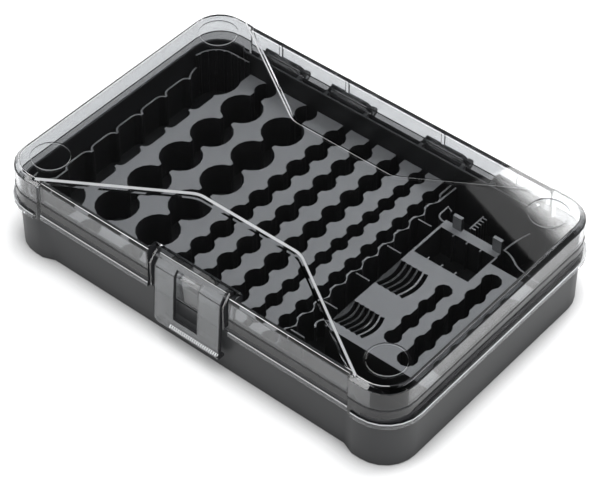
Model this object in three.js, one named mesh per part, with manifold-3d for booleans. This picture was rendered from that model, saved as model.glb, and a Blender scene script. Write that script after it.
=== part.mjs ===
// Battery box: dark tub, cell tray, lift-out small-cell tray, clear lid on four hinges, clear front latch.
// Millimetres, +X to the right, +Y to the back, +Z up; the origin lies on the floor under the middle.
import * as THREE from 'three';
import { mergeVertices } from 'three/addons/utils/BufferGeometryUtils.js';
import Module from 'manifold-3d';

const wasm = await Module();
wasm.setup();

// Shared sizes
const gap = 0.3;            // clearance between pieces that meet
const overrun = 1;          // how far a cut passes the face that it opens
const cornerSteps = 6;      // facets in a quarter turn of the box's corners

// Tub
const tub = {
  halfLength: 150.5, halfDepth: 97.1, radius: 22.5, setBack: 3.2, postLength: 28.5, jogRun: 8,
  floor: 2.4, footChamfer: 0.6, shoulderTop: 35.1, shoulderThick: 2, shoulderReach: 1.7,
};

// Lip of the tub, stepped in from its sides and risen above its shoulder; the lid closes over it
const lipStep = { side: 2.5, front: 2.9, rise: 9.9 };
const lip = {
  halfLength: tub.halfLength - lipStep.side, halfDepth: tub.halfDepth - lipStep.front,
  radius: 19.8, setBack: 2.6, postLength: 25, jogRun: 3, thick: 1.2, top: tub.shoulderTop + lipStep.rise,
};
const inner = { x: lip.halfLength - lip.thick, y: lip.halfDepth - lip.thick };
const fromLeft = (x) => x - inner.x;      // place measured in from the tub's left wall

// Lid, with its play over the lip and its heights above the shoulder
const lidFit = { wall: 2.2, sidePlay: 0.4, frontPlay: 2.5, rise: 30.4, creaseRise: 13.5 };
const lid = {
  halfLength: lip.halfLength + lidFit.sidePlay + lidFit.wall,
  halfDepth: lip.halfDepth + lidFit.frontPlay + lidFit.wall,
  radius: 21.5, setBack: 1.8, postLength: 31, jogRun: 2, wall: lidFit.wall,
  top: tub.shoulderTop + lidFit.rise, edgeChamfer: 3.5, panelDrop: 1.1,
  creaseHeight: tub.shoulderTop + lidFit.creaseRise, skirtStep: 0.4,
};
const flangeReach = { side: 3.5, front: 1.9 };
const flange = {
  halfLength: lid.halfLength + flangeReach.side, halfDepth: lid.halfDepth + flangeReach.front,
  radius: 25.4, setBack: 2.4, thick: 3.6,
};
const bowTieInset = { side: 29.6, front: 3.4 };
const bowTie = {
  outerX: lid.halfLength - bowTieInset.side, outerY: lid.halfDepth - bowTieInset.front,
  innerX: 39, innerY: 43.4, bendRadius: 16, bendSteps: 5,
};
const ringInset = { side: 21.8, front: 22.9 };
const ring = {
  x: lid.halfLength - ringInset.side, y: lid.halfDepth - ringInset.front,
  radius: 12.5, width: 1.2, depth: 0.6, steps: 24,
};

// Hinge: its axis lies behind the lid's back wall; heights above the shoulder
const hingePlace = { reach: 4.4, axisRise: 6.9, webDrop: 9.1, coverRise: 15.5 };
const hinge = {
  innerX: 37.7, outerX: 92.2, axisY: lid.halfDepth - lid.setBack + hingePlace.reach,
  axisZ: tub.shoulderTop + hingePlace.axisRise, barrelRadius: 2.6, pinRadius: 1.5, headRadius: 2.4,
  headThick: 0.9, knuckleHalf: 14.2, lugThick: 2.6, lugGap: 0.4, lugRadius: 3.4, lugStep: 3,
  webFoot: tub.shoulderTop - hingePlace.webDrop, wallFoot: lip.top,
  coverTop: tub.shoulderTop + hingePlace.coverRise, coverReach: 1.5, ribHalf: 1.2, ribShift: 1.6,
  ribReach: 1.4, reliefRun: 8, roundSteps: 16,
};

// Latch: depths measured in from the lid's front, heights down from its top
const latchPlace = {
  topIn: 6.8, topDrop: 2.4, bendIn: 1.3, bendDrop: 9.2, pivotIn: 5.6, pivotDrop: 5.5,
  windowDrop: 5.5, footDrop: 52.3,
};
const latch = {
  halfWidth: 25.4, topY: lid.halfDepth - latchPlace.topIn, topZ: lid.top - latchPlace.topDrop,
  bendY: lid.halfDepth - latchPlace.bendIn, bendZ: lid.top - latchPlace.bendDrop,
  footY: flange.halfDepth, footZ: lid.top - latchPlace.footDrop, thick: 2.4,
  windowLeft: -10.3, windowRight: 8.4, windowTop: lid.top - latchPlace.windowDrop, windowSill: 9.6,
  hookHeight: 2.6, hookReach: 2.8, cornerRadius: 6, cornerSteps: 5,
  pivotY: lid.halfDepth - latchPlace.pivotIn, pivotZ: lid.top - latchPlace.pivotDrop,
  trunnionRadius: 1.3, trunnionLength: 2.6, footChamfer: 0.6,
};
const grip = { left: -12, low: 2.6, high: 5, edge: 0.5, reach: 1 };

// Bay for the latch in the lid's front, with a thin ear at each side that bears the latch
const bayPlace = { faceIn: 4.3, faceDrop: 12.5, backIn: 9.5, backDrop: 7.3 };
const latchBay = {
  half: 31.2, flangeHalf: 31.2,
  faceY: lid.halfDepth - bayPlace.faceIn, faceTop: lid.top - bayPlace.faceDrop,
  backY: lid.halfDepth - bayPlace.backIn, backFoot: lid.top - bayPlace.backDrop,
};
const ear = { gap: 2, thick: 1.2, topIn: 6.8, topDrop: 1.6, bendIn: 0.4, bendDrop: 8.4 };
const keeper = { halfWidth: 19, height: 3.2, gap: 0.6, slope: 2 };

// Cell tray: its columns stand in from the tub's left wall, each row is centred near the middle
const tray = {
  top: 28.75, plate: 1.6, wall: 1.2, outerStepsLess: 2, floorTop: 4, plateLeft: 18.8, splitGap: 18.6,
};
const cSize = {
  radius: 13.95, neck: 4.5, pitch: 29.03, endRoom: 20, centreY: 2.8, xs: [50.3, 84.2], steps: 7,
};
const cEnd = { radius: 7.3, step: 23 };
const aaSize = {
  radius: 7.65, neck: 3.3, pitch: 17.81, endRoom: 0, centreY: -2.95, xs: [113.1, 134.3, 156], steps: 5,
};
const aaaSize = { radius: 5.6, neck: 2.4, pitch: 15.1, steps: 4 };
const aaaLeft = { x: 175.5, endRoom: 0, centreY: -1.75 };
const aaaRight = { x: 192.5, endRoom: 6, centreY: -2 };
const blockCell = {
  left: 2, right: 28.8, passLeft: 5.4, passRight: 25, pitch: 22.9, endRoom: 35, centreY: 4.55,
  fin: 1.5, round: 4.6, steps: 3,
};
const dSize = {
  x: 17.8, fromBack: 20.4, radius: 16.4, wall: 1, upstandTop: 39, steps: 8, mouthRight: 32.4,
  backRun: 14, fluteRadius: 0.8, flutes: 7, fluteSides: 5,
};

// Walls that stand in the well right of the cells, placed by the small-cell tray beside them
const bay = {
  ribStop: 3.5, ribs: 5, ribPitch: 30, ribFirstY: 66.2, ribThick: 1, wallTop: 28.2, backBow: 0.8,
  wallX: 42.3, backClear: 1.7, stepClear: 7.3, flatRun: 1.2, fallRun: 18, fallSteps: 7, endDrop: 1.5,
  backRun: 21.8, bow: 3.4, bowSteps: 4, combX: 15.5, combClear: 3, combLength: 14.1, combTeeth: 5,
  combTooth: 3.5, combTop: 28.5,
};

// Small-cell tray, drawn from its own left edge
const small = {
  wallGap: 1, sideRim: 2.9, frontY: 51.6, backY: 63.8, stepX: 42.6, stepY: 50.8, plate: 1.6, wall: 1.2,
  wellFloor: 6, skirtFoot: 4.3,
};
const fourBay = {
  left: 1.6, right: 42, front: 29.8, back: 56.8, dividers: 3, tick: 2.2, thick: 0.9, floor: 7,
};
const coinA = { left: 1.6, right: 22.6, front: -6.6, back: 20.2, slots: 5 };
const coinB = { left: 1.6, right: 24.6, front: -46.6, back: -23.8, slots: 6 };
const coinSlot = { wallShare: 0.32, bow: 2.6, depth: 16, steps: 6, edge: 1.1 };
const chainSmall = { x: 35.5, firstY: 33.2, pitch: 16, count: 4, radius: 5.5, neck: 3.2, steps: 4 };
const chainLarge = { x: 52.5, firstY: 41.2, pitch: 16.05, count: 6, radius: 6.4, neck: 4.2, steps: 4 };
const chainOuter = { x: 71.5, firstY: 33.2, pitch: 16, count: 5, radius: 6.4, neck: 4.2, steps: 4 };
const tab = { width: 6.5, thick: 2.4, rise: 10, firstX: 6.8, secondX: 36.5, inset: 0.4 };
const clip = {
  radius: 5, thick: 1.1, steps: 6, drop: 14, backInset: 2.1, backX: -1, run: 7.2, hookX: 4.2, hookBack: 2.3,
  frontX: -0.5, frontInset: 0.7, rootY: 6,
};
const smallLength = chainOuter.x + chainOuter.radius + small.sideRim;
const smallLeft = inner.x - small.wallGap - smallLength;
const splitX = smallLeft - tray.splitGap;

const dark = { color: 0x47494d, roughness: 0.45, metalness: 0 };
const darkTray = { color: 0x3f4145, roughness: 0.5, metalness: 0 };
const clearPlastic = { color: 0xdfe3e6, roughness: 0.06, metalness: 0, transparent: true, opacity: 0.35 };

// A closed three.js geometry as a solid for cutting and joining
function toSolid(geometry) {
  const bare = geometry.index ? geometry.clone() : geometry;
  bare.deleteAttribute('normal');
  bare.deleteAttribute('uv');
  const merged = mergeVertices(bare);
  return new wasm.Manifold(new wasm.Mesh({
    numProp: 3,
    vertProperties: new Float32Array(merged.attributes.position.array),
    triVerts: new Uint32Array(merged.index.array),
  }));
}

// A named mesh from a finished solid
function toMesh(name, solid, look) {
  const { vertProperties, triVerts } = solid.getMesh();
  const geometry = new THREE.BufferGeometry();
  geometry.setAttribute('position', new THREE.BufferAttribute(new Float32Array(vertProperties), 3));
  geometry.setIndex(new THREE.BufferAttribute(new Uint32Array(triVerts), 1));
  geometry.computeVertexNormals();
  const mesh = new THREE.Mesh(geometry, new THREE.MeshStandardMaterial(look));
  mesh.name = name;
  return mesh;
}

const joined = (solids) => solids.reduce((whole, solid) => whole.add(solid));
const cutBy = (solid, tools) => tools.reduce((left, tool) => left.subtract(tool), solid);
const point = (x, y) => new THREE.Vector2(x, y);

// Upright prism over a plan outline
function prism(points, low, high) {
  const geometry = new THREE.ExtrudeGeometry(new THREE.Shape(points), {
    depth: high - low, bevelEnabled: false, steps: 1,
  });
  geometry.translate(0, 0, low);
  return toSolid(geometry);
}

// Prism along X over an outline drawn in Y and Z
function prismAlongX(points, left, right) {
  const geometry = new THREE.ExtrudeGeometry(new THREE.Shape(points), {
    depth: right - left, bevelEnabled: false, steps: 1,
  });
  const toYZ = new THREE.Matrix4().makeBasis(
    new THREE.Vector3(0, 1, 0), new THREE.Vector3(0, 0, 1), new THREE.Vector3(1, 0, 0),
  );
  geometry.applyMatrix4(toYZ);
  geometry.translate(left, 0, 0);
  return toSolid(geometry);
}

// Prism along Y over an outline drawn in X and Z
function prismAlongY(points, front, back) {
  const geometry = new THREE.ExtrudeGeometry(new THREE.Shape(points), {
    depth: back - front, bevelEnabled: false, steps: 1,
  });
  const toXZ = new THREE.Matrix4().makeBasis(
    new THREE.Vector3(1, 0, 0), new THREE.Vector3(0, 0, 1), new THREE.Vector3(0, -1, 0),
  );
  geometry.applyMatrix4(toXZ);
  geometry.translate(0, back, 0);
  return toSolid(geometry);
}

const rectangle = (left, right, front, back) => [
  point(left, front), point(right, front), point(right, back), point(left, back),
];
function block(left, right, front, back, low, high) {
  return prism(rectangle(left, right, front, back), low, high);
}

// Solid between plan outlines of equal point count at rising heights
function loft(levels) {
  const count = levels[0].points.length;
  const places = levels.flatMap(({ points, z }) => points.flatMap((p) => [p.x, p.y, z]));
  const faces = [];
  for (let level = 1; level < levels.length; level += 1) {
    for (let i = 0; i < count; i += 1) {
      const next = (i + 1) % count;
      const low = (level - 1) * count;
      const high = level * count;
      faces.push(low + i, low + next, high + next, low + i, high + next, high + i);
    }
  }
  const lastRow = (levels.length - 1) * count;
  THREE.ShapeUtils.triangulateShape(levels[0].points, []).forEach(([a, b, c]) => faces.push(a, c, b));
  THREE.ShapeUtils.triangulateShape(levels.at(-1).points, [])
    .forEach(([a, b, c]) => faces.push(lastRow + a, lastRow + b, lastRow + c));
  const geometry = new THREE.BufferGeometry();
  geometry.setAttribute('position', new THREE.Float32BufferAttribute(places, 3));
  geometry.setIndex(faces);
  return toSolid(geometry);
}

// Points of an arc, both ends included
function arc(x, y, radius, from, to, steps) {
  return Array.from({ length: steps + 1 }, (_, i) => {
    const angle = THREE.MathUtils.lerp(from, to, i / steps);
    return point(x + radius * Math.cos(angle), y + radius * Math.sin(angle));
  });
}
const circle = (x, y, radius, steps) => arc(x, y, radius, 0, 2 * Math.PI, steps).slice(0, -1);

// Plan outline of the box: round corner posts, and long sides set back between them
function boxOutline(size, inset = 0, backInset = inset) {
  const { halfLength, halfDepth, radius, setBack = 0, postLength = 0, jogRun = 0 } = size;
  const x = halfLength - radius;
  const y = halfDepth - radius;
  const turn = Math.PI / 2;
  const corner = (sx, sy, from) => arc(sx * x, sy * y, radius - inset, from, from + turn, cornerSteps);
  const post = halfLength - postLength;
  const edge = halfDepth - inset;
  const back = halfDepth - setBack - backInset;
  const jog = (side) => (setBack > 0 ? [
    point(side * post, side * edge), point(side * (post - jogRun), side * back),
    point(-side * (post - jogRun), side * back), point(-side * post, side * edge),
  ] : []);
  return [
    ...corner(1, 1, 0), ...jog(1), ...corner(-1, 1, turn),
    ...corner(-1, -1, 2 * turn), ...jog(-1), ...corner(1, -1, 3 * turn),
  ];
}

// Outline of a column of round wells joined by necks; a neck may run out past either end
function chainOutline({ x, holes, neck, steps, frontEnd, backEnd }, grow = 0) {
  const half = neck + grow;
  const side = (sign) => holes.flatMap(({ y, radius }, i) => {
    const mouth = Math.acos(half / (radius + grow));
    const low = i === 0 && frontEnd === undefined ? Math.PI / 2 : mouth;
    const high = i === holes.length - 1 && backEnd === undefined ? Math.PI / 2 : mouth;
    return arc(0, y, radius + grow, -low, high, steps).map((p) => point(x + sign * p.x, p.y));
  });
  const right = side(1);
  const left = side(-1).reverse();
  const frontCap = frontEnd === undefined ? [] : [point(x - half, frontEnd), point(x + half, frontEnd)];
  const backCap = backEnd === undefined ? [] : [point(x + half, backEnd), point(x - half, backEnd)];
  const dropTwin = (points) => points.filter((p, i) => i === 0 || p.distanceTo(points[i - 1]) > 0);
  return dropTwin([...frontCap, ...right, ...backCap, ...left.slice(backEnd === undefined ? 1 : 0,
    frontEnd === undefined ? -1 : undefined)]);
}

// Outline of the thin wall round a chain of wells, in fewer steps where nobody looks
function cupOutline(chain, wall) {
  return chainOutline({ ...chain, steps: chain.steps - tray.outerStepsLess }, wall);
}

const rowOfHoles = (firstY, pitch, count, radius) => Array.from(
  { length: count }, (_, i) => ({ y: firstY + i * pitch, radius }),
);

// Row of wells as long as the tub's depth allows
function fittingRow({ pitch, endRoom, centreY }, radius) {
  const count = Math.floor(2 * (inner.y - endRoom) / pitch);
  return rowOfHoles(centreY - (count - 1) / 2 * pitch, pitch, count, radius);
}

const innerOutline = () => boxOutline(lip, lip.thick);

// Tub with its chamfered foot edge, shoulder, lip, latch keeper and hinge lugs
function makeTub() {
  const shoulderFoot = tub.shoulderTop - tub.shoulderThick;
  const outer = loft([
    { points: boxOutline(tub, tub.footChamfer), z: 0 },
    { points: boxOutline(tub), z: tub.footChamfer },
    { points: boxOutline(tub), z: tub.shoulderTop },
  ]);
  const shoulder = prism(boxOutline(tub, -tub.shoulderReach), shoulderFoot, tub.shoulderTop);
  const rim = prism(boxOutline(lip), shoulderFoot, lip.top);
  const hollow = prism(innerOutline(), tub.floor, lip.top + overrun);
  return joined([outer, shoulder, rim, makeKeeper(), ...hingeCentres().flatMap(makeLugs)]).subtract(hollow);
}

// Ledge on the tub's front that the latch's hook passes under
function makeKeeper() {
  const face = tub.halfDepth - tub.setBack;
  const front = latch.footY - latch.thick - latch.hookReach - gap;
  const low = latch.footZ + latch.hookHeight + keeper.gap;
  const high = low + keeper.height;
  return prismAlongX([
    point(-front, low), point(-face + lip.thick, low), point(-face + lip.thick, high + keeper.slope),
    point(-face, high + keeper.slope), point(-front, high),
  ], -keeper.halfWidth, keeper.halfWidth);
}

const hingeCentres = () => [-hinge.outerX, -hinge.innerX, hinge.innerX, hinge.outerX];

// Pair of lugs that carry one hinge pin
function makeLugs(centre) {
  const face = lip.halfDepth - lip.setBack - lip.thick / 2;
  const near = hinge.knuckleHalf + hinge.lugGap;
  const { axisY, axisZ, lugRadius, lugStep, lugThick } = hinge;
  const shelf = hinge.wallFoot - gap;
  const profile = [
    point(face, hinge.webFoot),
    ...arc(axisY, axisZ, lugRadius, -Math.PI / 4, Math.PI / 2, hinge.roundSteps / 2),
    point(axisY - lugStep, axisZ + lugRadius), point(axisY - lugStep, shelf), point(face, shelf),
  ];
  const bore = circle(axisY, axisZ, hinge.pinRadius + gap, hinge.roundSteps);
  return [centre - near - lugThick, centre + near].map((left) => prismAlongX(profile, left, left + lugThick)
    .subtract(prismAlongX(bore, left - overrun, left + lugThick + overrun)));
}

// Pin of one hinge, through both lugs, with its head at the left
function makePin(centre) {
  const half = hinge.knuckleHalf + hinge.lugGap + hinge.lugThick;
  const round = (radius) => circle(hinge.axisY, hinge.axisZ, radius, hinge.roundSteps);
  const headRight = centre - half - gap;
  const shank = prismAlongX(round(hinge.pinRadius), headRight - hinge.headThick / 2, centre + half);
  return shank.add(prismAlongX(round(hinge.headRadius), headRight - hinge.headThick, headRight));
}

// Clear knuckle of one hinge on the lid's back wall, with the stiffening rib above it
function makeKnuckle(centre) {
  const wallY = lid.halfDepth - lid.setBack;
  const inside = wallY - lid.wall / 2;
  const { axisY, axisZ, barrelRadius } = hinge;
  const profile = [
    point(inside, hinge.wallFoot), point(axisY - barrelRadius, axisZ),
    ...arc(axisY, axisZ, barrelRadius, Math.PI, 2.25 * Math.PI, hinge.roundSteps / 2).slice(1),
    point(wallY + hinge.coverReach, hinge.coverTop), point(inside, hinge.coverTop),
  ];
  const cover = prismAlongX(profile, centre - hinge.knuckleHalf, centre + hinge.knuckleHalf);
  const ribX = centre - hinge.ribShift;
  const rib = block(
    ribX - hinge.ribHalf, ribX + hinge.ribHalf, inside, wallY + hinge.ribReach,
    hinge.coverTop - overrun, lid.top - lid.edgeChamfer,
  );
  return cover.add(rib);
}

// Front and back panels of the lid's top that lie lower, with sloping sides up to the bow-tie panel
function lowPanel(side, low, high, inset) {
  const { outerX, outerY, innerX, innerY, bendRadius, bendSteps } = bowTie;
  const far = lid.halfDepth + overrun;
  const slope = Math.atan2(outerY - innerY, outerX - innerX);
  const level = (z) => {
    const grow = z - low - inset;
    const near = innerY - grow;
    const shift = grow / Math.sin(slope);
    const reach = (far - outerY) / Math.tan(slope);
    const centreX = innerX + shift - grow / Math.tan(slope) - bendRadius * Math.tan(slope / 2);
    const bend = arc(centreX, near + bendRadius, bendRadius, slope - Math.PI / 2, -Math.PI / 2, bendSteps);
    const half = [point(outerX + reach + shift, far), ...bend];
    const points = [...half, ...half.map((p) => point(-p.x, p.y)).reverse()];
    return { points: side > 0 ? points.reverse() : points.map((p) => point(p.x, -p.y)), z };
  };
  return loft([level(low), level(high)]);
}

// Clear lid: top with bow-tie panel, walls, skirt, flange, hinge knuckles and the bay for the latch
function makeLid() {
  const edge = lid.top - lid.edgeChamfer;
  const bottom = tub.shoulderTop + gap;
  const skirtSize = {
    ...lid, halfLength: lid.halfLength + lid.skirtStep, halfDepth: lid.halfDepth + lid.skirtStep,
    radius: lid.radius + lid.skirtStep,
  };
  const upper = loft([
    { points: boxOutline(lid), z: lid.creaseHeight - lid.skirtStep },
    { points: boxOutline(lid), z: edge },
    { points: boxOutline(lid, lid.edgeChamfer, lid.edgeChamfer - lid.setBack), z: lid.top },
  ]);
  const skirt = prism(boxOutline(skirtSize), bottom, lid.creaseHeight);
  const rimFlange = prism(boxOutline({ ...lid, ...flange }), bottom, bottom + flange.thick)
    .subtract(flangeGap(bottom));
  const walls = cutBy(joined([upper, skirt, rimFlange]), [
    lidHollow(bottom), backNotch(bottom), backRelief(bottom),
  ]);
  const topLow = lid.top - lid.panelDrop;
  const panels = [-1, 1].map((side) => lowPanel(side, topLow, lid.top + overrun, 0));
  const shell = cutBy(joined([walls, ...hingeCentres().map(makeKnuckle)]), [
    ...panels, ...makeRings(), latchBlock(0),
  ]);
  return cutBy(joined([shell, ...makeEars()]), lidBores());
}

// Gap in the flange at the latch
function flangeGap(bottom) {
  const half = latchBay.flangeHalf;
  const wallY = lid.halfDepth - lid.setBack + lid.skirtStep;
  return block(
    -half, half, -flange.halfDepth - overrun, -wallY, bottom - overrun, bottom + flange.thick + overrun,
  );
}

// Stretch of the back wall between the posts that ends above the hinge lugs
function backNotch(bottom) {
  const half = lid.halfLength - lid.postLength - lid.jogRun;
  const back = flange.halfDepth + overrun;
  return block(-half, half, lip.halfDepth - lip.setBack, back, bottom - overrun, hinge.wallFoot);
}

// Relief inside the foot of the back posts, so that they swing clear of the tub's lip
function backRelief(bottom) {
  const half = lid.halfLength - lid.radius + hinge.reliefRun;
  const inside = lid.halfDepth - lid.wall;
  const reach = hinge.axisY - lip.halfDepth - gap;
  const across = (drop) => Math.sqrt(Math.max(reach ** 2 - drop ** 2, 0));
  const lowY = hinge.axisY - across(hinge.axisZ - bottom);
  const topZ = hinge.axisZ - across(hinge.axisY - inside);
  return prismAlongX([
    point(lip.halfDepth, bottom - overrun), point(lowY, bottom - overrun), point(lowY, bottom),
    point(inside, topZ), point(lip.halfDepth, topZ),
  ], -half, half);
}

// Inside of the lid, which keeps a wall behind the latch bay
function lidHollow(bottom) {
  const ceiling = lid.top - lid.panelDrop - lid.wall;
  const cornerDrop = lid.edgeChamfer / 2;
  const low = loft([
    { points: boxOutline(lid, lid.wall), z: bottom - overrun },
    { points: boxOutline(lid, lid.wall), z: ceiling - cornerDrop },
    { points: boxOutline(lid, lid.wall + cornerDrop), z: ceiling },
  ]);
  const high = prism(boxOutline(lid, lid.wall + cornerDrop), ceiling - overrun, ceiling + lid.panelDrop);
  const above = ceiling + lid.panelDrop;
  const panels = [-1, 1].map((side) => lowPanel(side, ceiling, above + overrun, lid.wall));
  return low.add(cutBy(high, panels)).subtract(latchBlock(lid.wall));
}

// Space of the latch bay, or the larger block that leaves a wall of the given thickness round it
function latchBlock(wall) {
  const half = latchBay.half + wall;
  const far = -flange.halfDepth - overrun - wall;
  const low = tub.shoulderTop - overrun - wall;
  const high = lid.top + overrun + wall;
  return prismAlongX([
    point(far, low), point(-latchBay.faceY + wall, low), point(-latchBay.faceY + wall, latchBay.faceTop),
    point(-latchBay.backY + wall, latchBay.backFoot), point(-latchBay.backY + wall, high), point(far, high),
  ], -half, half);
}

// Thin ears beside the latch, sloping at the top as the latch's head does
function makeEars() {
  const bottom = tub.shoulderTop + gap + flange.thick;
  const bendY = lid.halfDepth - ear.bendIn;
  const top = lid.top - ear.topDrop;
  const faceY = latchBay.faceY - lid.wall / 2;
  const backY = latchBay.backY - lid.wall / 2;
  const profile = [
    point(-faceY, bottom), point(-bendY, bottom), point(-bendY, lid.top - ear.bendDrop),
    point(-lid.halfDepth + ear.topIn, top), point(-backY, top), point(-backY, latchBay.backFoot),
    point(-faceY, latchBay.faceTop),
  ];
  const near = latch.halfWidth + ear.gap;
  return [-near - ear.thick, near].map((left) => prismAlongX(profile, left, left + ear.thick));
}

// Round grooves over the four corner posts
function makeRings() {
  const cut = (x, y) => {
    const outer = circle(x, y, ring.radius + ring.width / 2, ring.steps);
    const inner = circle(x, y, ring.radius - ring.width / 2, ring.steps);
    return prism(outer, lid.top - ring.depth, lid.top + overrun)
      .subtract(prism(inner, lid.top - ring.depth - overrun, lid.top + 2 * overrun));
  };
  return [cut(-ring.x, -ring.y), cut(ring.x, -ring.y), cut(-ring.x, ring.y), cut(ring.x, ring.y)];
}

// Bores in the lid for the hinge pins and for the latch's trunnions
function lidBores() {
  const half = hinge.knuckleHalf + overrun;
  const pinBore = circle(hinge.axisY, hinge.axisZ, hinge.pinRadius + gap, hinge.roundSteps);
  const trunnionBore = circle(-latch.pivotY, latch.pivotZ, latch.trunnionRadius + gap, hinge.roundSteps);
  const reach = latch.halfWidth + ear.gap + ear.thick + gap;
  return [
    ...hingeCentres().map((x) => prismAlongX(pinBore, x - half, x + half)),
    prismAlongX(trunnionBore, -reach, reach),
  ];
}

// Clear latch plate with its sloping head, window, hook and trunnions
function makeLatch() {
  const { topY, topZ, bendY, bendZ, footY, footZ, thick, halfWidth, footChamfer } = latch;
  const hookY = footY - thick - latch.hookReach;
  const hookZ = footZ + latch.hookHeight;
  const rise = (topZ - bendZ) / (bendY - topY);
  const inside = bendY - thick;
  const innerBend = bendZ - thick / 2;
  const profile = [
    point(-topY, topZ), point(-bendY, bendZ), point(-footY, footZ + footChamfer),
    point(-footY + footChamfer, footZ), point(-hookY, footZ), point(-hookY, hookZ - footChamfer),
    point(-footY + thick, hookZ),
    point(-inside, innerBend), point(-topY, innerBend + rise * (inside - topY)),
  ];
  const plate = prismAlongX(profile, -halfWidth, halfWidth);
  const front = prismAlongY(latchFace(), -footY - overrun, -topY + overrun);
  const windowCut = block(
    latch.windowLeft, latch.windowRight, -footY - overrun, -latchBay.backY, footZ + latch.windowSill,
    latch.windowTop,
  );
  return joined([plate.intersect(front).subtract(windowCut), makeGrip(), ...makeTrunnions()]);
}

// Ledge across the latch's foot that a fingertip pulls
function makeGrip() {
  const { footY, footZ, thick, halfWidth } = latch;
  const slope = (latch.footY - latch.bendY) / (latch.bendZ - footZ);
  const low = footZ + grip.low;
  const high = footZ + grip.high;
  const tipY = footY + grip.reach;
  const root = footY - thick / 2;
  return prismAlongX([
    point(-footY, low), point(-root, low), point(-root, high), point(-footY + slope * grip.high, high),
    point(-tipY, low + grip.edge + grip.reach), point(-tipY, low + grip.edge),
  ], grip.left, halfWidth);
}

// Face of the latch seen from the front, with its lower left corner rounded
function latchFace() {
  const { halfWidth, footZ, topZ, cornerRadius, cornerSteps: steps } = latch;
  return [
    ...arc(-halfWidth + cornerRadius, footZ + cornerRadius, cornerRadius, Math.PI, 1.5 * Math.PI, steps),
    point(halfWidth, footZ), point(halfWidth, topZ + overrun), point(-halfWidth, topZ + overrun),
  ];
}

// Trunnions at both ends of the latch's head
function makeTrunnions() {
  const round = circle(-latch.pivotY, latch.pivotZ, latch.trunnionRadius, hinge.roundSteps);
  const root = latch.halfWidth - latch.trunnionLength;
  return [-1, 1].map((side) => {
    const ends = [side * root, side * (latch.halfWidth + latch.trunnionLength)];
    return prismAlongX(round, Math.min(...ends), Math.max(...ends));
  });
}

// Columns of the cell tray as chain outlines, as many as fit left of the split
function cellChains() {
  const out = lip.halfDepth;
  const ends = { frontEnd: -out, backEnd: out };
  const cChain = (x) => {
    const row = fittingRow(cSize, cSize.radius);
    const first = { y: row[0].y - cEnd.step, radius: cEnd.radius };
    const last = { y: row.at(-1).y + cEnd.step, radius: cEnd.radius };
    return { x, holes: [first, ...row, last], neck: cSize.neck, steps: cSize.steps, ...ends };
  };
  const aaChain = (x) => ({
    x, holes: fittingRow(aaSize, aaSize.radius), neck: aaSize.neck, steps: aaSize.steps, ...ends,
  });
  const aaaChain = ({ x, endRoom, centreY }) => ({
    x, holes: fittingRow({ pitch: aaaSize.pitch, endRoom, centreY }, aaaSize.radius),
    neck: aaaSize.neck, steps: aaaSize.steps, ...ends,
  });
  const columns = [
    ...cSize.xs.map(cChain), ...aaSize.xs.map(aaChain), aaaChain(aaaLeft), aaaChain(aaaRight),
  ];
  return columns.map((chain) => ({ ...chain, x: fromLeft(chain.x) })).filter((chain) => chain.x < splitX);
}

// Outline of one pocket for a block-shaped cell, with rounded corners
function pocketOutline(y, grow = 0) {
  const half = (blockCell.pitch - blockCell.fin) / 2;
  const round = blockCell.round;
  const turn = Math.PI / 2;
  const corner = (cx, cy, from) => arc(cx, cy, round + grow, from, from + turn, blockCell.steps);
  const left = fromLeft(blockCell.left) + round;
  const right = fromLeft(blockCell.right) - round;
  return [
    ...corner(right, y + half - round, 0), ...corner(left, y + half - round, turn),
    ...corner(left, y - half + round, 2 * turn), ...corner(right, y - half + round, 3 * turn),
  ];
}

// Wells of the left row: block cells joined by passages, and one large round well at each end
function leftRow(grow, low, high) {
  const x = fromLeft(dSize.x);
  const y = inner.y - dSize.fromBack;
  const upright = (outline) => prism(outline, low, high);
  const places = fittingRow(blockCell, blockCell.round);
  const pockets = places.map((hole) => upright(pocketOutline(hole.y, grow)));
  const passage = upright(rectangle(
    fromLeft(blockCell.passLeft) - grow, fromLeft(blockCell.passRight) + grow, -y, y,
  ));
  const rounds = [-y, y].map((centre) => upright(circle(x, centre, dSize.radius + grow, 4 * dSize.steps)));
  const mouths = [-lip.halfDepth, y].map((front) => block(
    x, fromLeft(dSize.mouthRight) + grow, front, front + lip.halfDepth - y, low, high,
  ));
  return joined([...pockets, passage, ...rounds, ...mouths]);
}

// Raised fluted wall round a large well's corner and on along the tub's side
function upstand(side) {
  const { radius, wall, steps, upstandTop, flutes, fluteRadius, fluteSides, backRun } = dSize;
  const x = fromLeft(dSize.x);
  const y = inner.y - dSize.fromBack;
  const place = (p) => point(p.x, side * p.y);
  const turn = Math.PI / 2;
  const middle = radius + wall / 2;
  const line = [...arc(x, y, middle, 2 * turn, turn, steps), point(x + backRun, y + middle)];
  const round = turn * radius;
  const ribs = Array.from({ length: flutes }, (_, i) => {
    const along = (i + 0.5) / flutes * (round + backRun);
    const angle = 2 * turn - Math.min(along, round) / radius;
    const centre = place(point(
      x + radius * Math.cos(angle) + Math.max(along - round, 0), y + radius * Math.sin(angle),
    ));
    return prism(circle(centre.x, centre.y, fluteRadius, fluteSides), tray.floorTop, upstandTop);
  });
  return joined([thinWall(line.map(place), wall, tray.floorTop, upstandTop), ...ribs]);
}

// Thin wall that follows a centre line
function thinWall(line, thick, low, high) {
  const offset = (p, i, sign) => {
    const before = line[Math.max(i - 1, 0)];
    const after = line[Math.min(i + 1, line.length - 1)];
    const along = after.clone().sub(before).normalize();
    return point(p.x - sign * along.y * thick / 2, p.y + sign * along.x * thick / 2);
  };
  const right = line.map((p, i) => offset(p, i, -1));
  const left = line.map((p, i) => offset(p, i, 1)).reverse();
  return prism([...right, ...left], low, high);
}

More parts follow.
